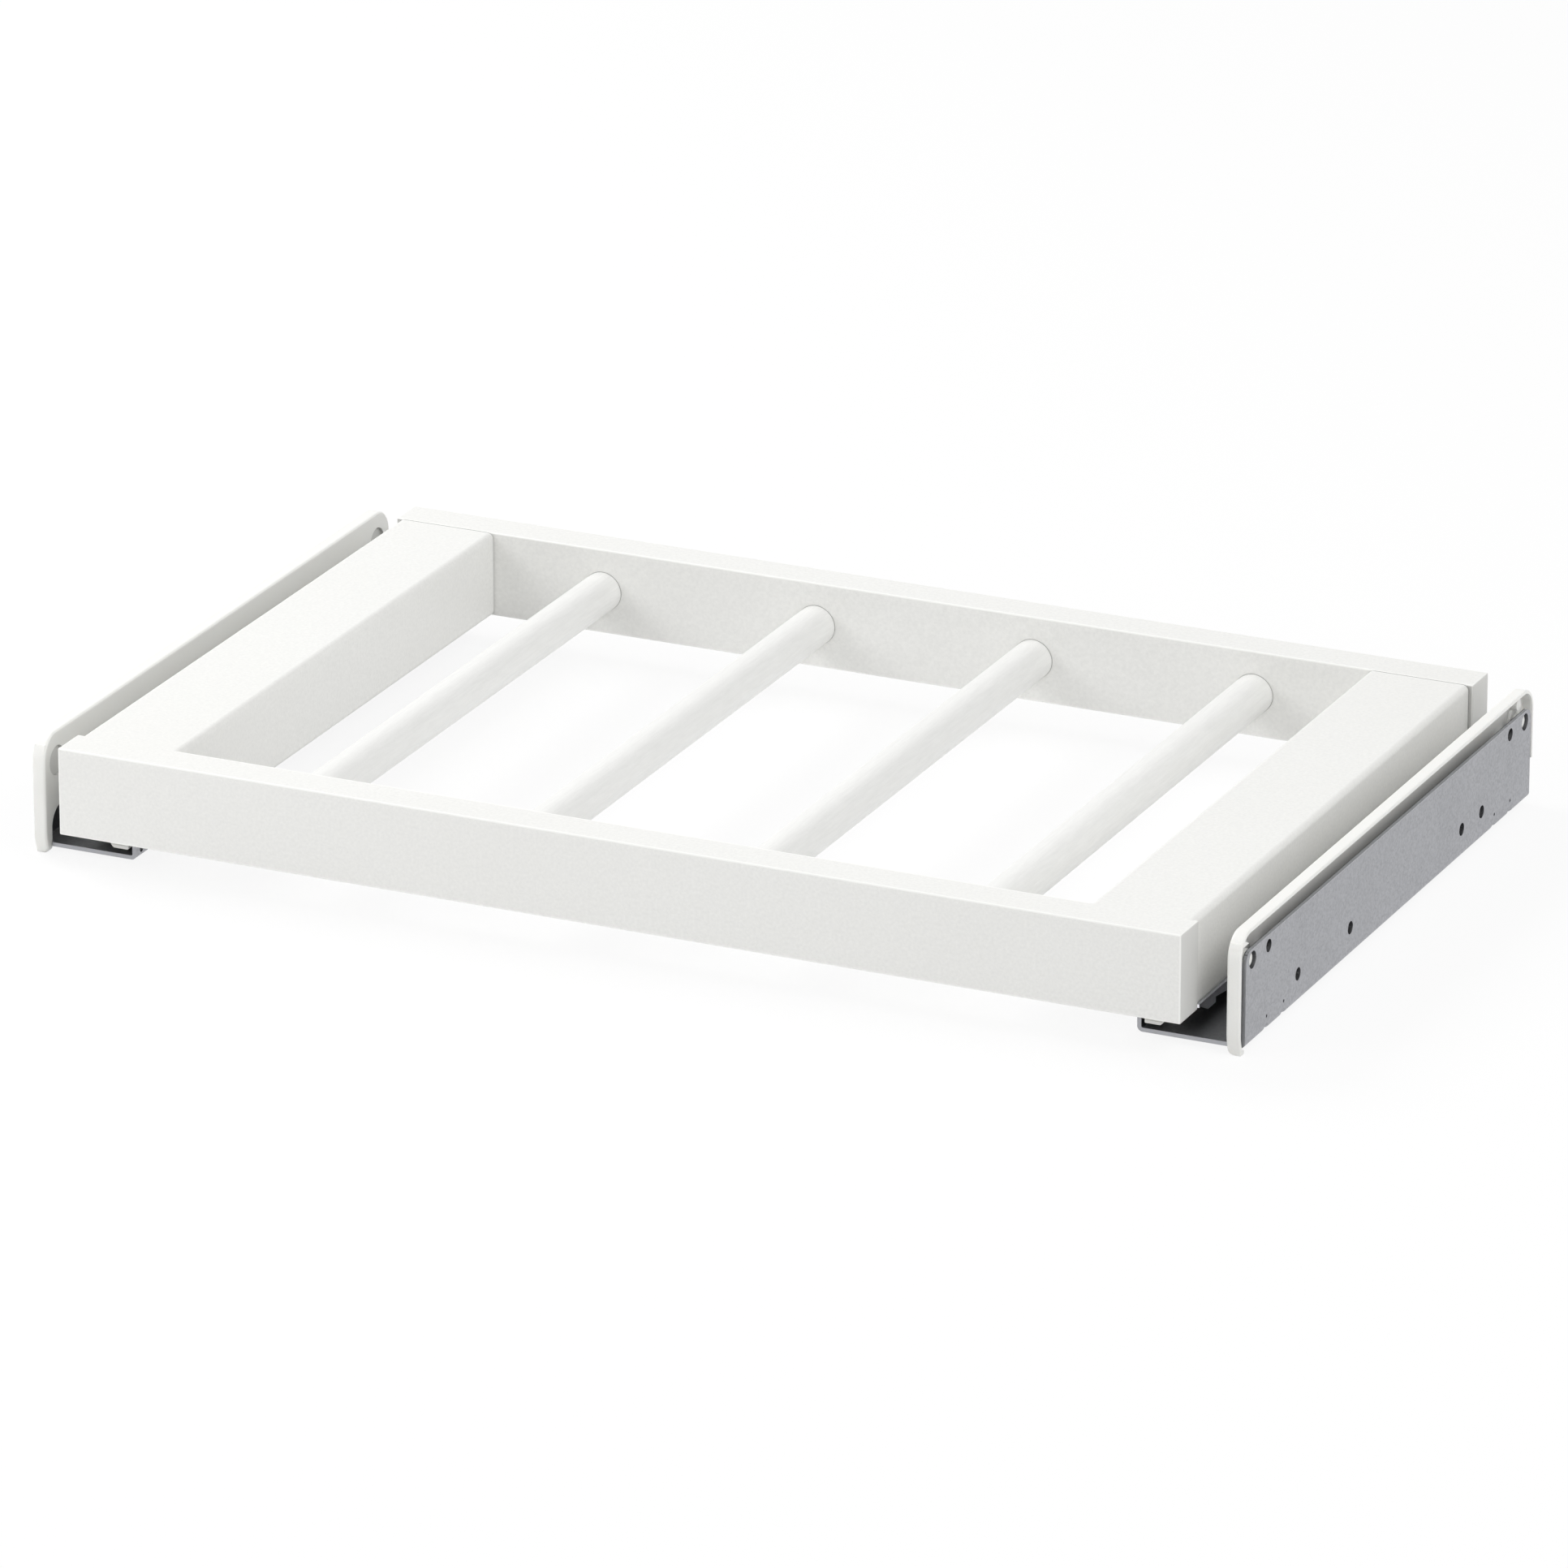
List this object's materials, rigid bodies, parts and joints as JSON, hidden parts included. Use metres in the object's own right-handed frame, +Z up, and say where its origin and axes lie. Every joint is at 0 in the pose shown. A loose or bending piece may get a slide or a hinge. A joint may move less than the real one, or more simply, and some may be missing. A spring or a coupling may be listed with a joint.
{
  "type": "pull-out trouser rack",
  "caption": "Pull-out trouser rack for a wardrobe: white frame with round hanging rods, ball slides and side wall brackets with clip-on covers.",
  "frame": {"origin": "middle of the width and depth, level with the feet of the bracket covers", "axes": "+X to the right seen from the front, +Y to the back of the wardrobe, +Z up; the rack pulls out along -Y"},
  "size_m": [0.463, 0.284, 0.0464],
  "materials": {
    "rail_lacquer": "fibreboard with satin white lacquer on every face",
    "rod_coating": "steel tube with semi-gloss white powder coat",
    "dowel_wood": "plain beech",
    "bracket_steel": "zinc-plated sheet, matt, fine grain",
    "cover_plastic": "moulded white plastic, satin",
    "slide_steel": "cold-rolled zinc-plated strip",
    "cage_steel": "thin stamped zinc-plated strip",
    "ball_steel": "polished bearing steel",
    "screw_zinc": "bright zinc plating",
    "buffer_rubber": "soft black rubber, matt"
  },
  "bodies": {
    "brackets": {"cabinet_bracket_left": "bracket_steel", "bracket_cover_left": "cover_plastic", "fixed_profile_left": "slide_steel", "profile_rivets_left": "screw_zinc", "rear_buffer_left": "buffer_rubber", "cabinet_bracket_right": "bracket_steel", "bracket_cover_right": "cover_plastic", "fixed_profile_right": "slide_steel", "profile_rivets_right": "screw_zinc", "rear_buffer_right": "buffer_rubber"},
    "rack": {"front_rail": "rail_lacquer", "back_rail": "rail_lacquer", "side_rail_left": "rail_lacquer", "side_rail_right": "rail_lacquer", "hanging_rod_1": "rod_coating", "hanging_rod_2": "rod_coating", "hanging_rod_3": "rod_coating", "hanging_rod_4": "rod_coating", "front_dowels": "dowel_wood", "back_screws": "screw_zinc", "runner_plate_left": "slide_steel", "drawer_profile_left": "slide_steel", "front_clip_left": "cover_plastic", "profile_screws_left": "screw_zinc", "runner_plate_right": "slide_steel", "drawer_profile_right": "slide_steel", "front_clip_right": "cover_plastic", "profile_screws_right": "screw_zinc"},
    "middle_left": {"middle_profile_left": "slide_steel"},
    "outer_cage_left": {"outer_ball_cage_left": "cage_steel", "outer_balls_left": "ball_steel"},
    "inner_cage_left": {"inner_ball_cage_left": "cage_steel", "inner_balls_left": "ball_steel"},
    "middle_right": {"middle_profile_right": "slide_steel"},
    "outer_cage_right": {"outer_ball_cage_right": "cage_steel", "outer_balls_right": "ball_steel"},
    "inner_cage_right": {"inner_ball_cage_right": "cage_steel", "inner_balls_right": "ball_steel"}
  },
  "joints": [
    {"name": "rack_slide", "type": "slide", "parent": "brackets", "child": "rack", "axis": [0, -1, 0], "range_m": [0, 0.25]},
    {"name": "middle_slide_left", "type": "slide", "parent": "brackets", "child": "middle_left", "axis": [0, -1, 0], "range_m": [0, 0.125]},
    {"name": "outer_cage_roll_left", "type": "slide", "parent": "brackets", "child": "outer_cage_left", "axis": [0, -1, 0], "range_m": [0, 0.0625]},
    {"name": "inner_cage_roll_left", "type": "slide", "parent": "brackets", "child": "inner_cage_left", "axis": [0, -1, 0], "range_m": [0, 0.1875]},
    {"name": "middle_slide_right", "type": "slide", "parent": "brackets", "child": "middle_right", "axis": [0, -1, 0], "range_m": [0, 0.125]},
    {"name": "outer_cage_roll_right", "type": "slide", "parent": "brackets", "child": "outer_cage_right", "axis": [0, -1, 0], "range_m": [0, 0.0625]},
    {"name": "inner_cage_roll_right", "type": "slide", "parent": "brackets", "child": "inner_cage_right", "axis": [0, -1, 0], "range_m": [0, 0.1875]}
  ],
  "couplings": [
    {"joint": "middle_slide_left", "follows": "rack_slide", "ratio": 0.5},
    {"joint": "outer_cage_roll_left", "follows": "rack_slide", "ratio": 0.25},
    {"joint": "inner_cage_roll_left", "follows": "rack_slide", "ratio": 0.75},
    {"joint": "middle_slide_right", "follows": "rack_slide", "ratio": 0.5},
    {"joint": "outer_cage_roll_right", "follows": "rack_slide", "ratio": 0.25},
    {"joint": "inner_cage_roll_right", "follows": "rack_slide", "ratio": 0.75}
  ]
}
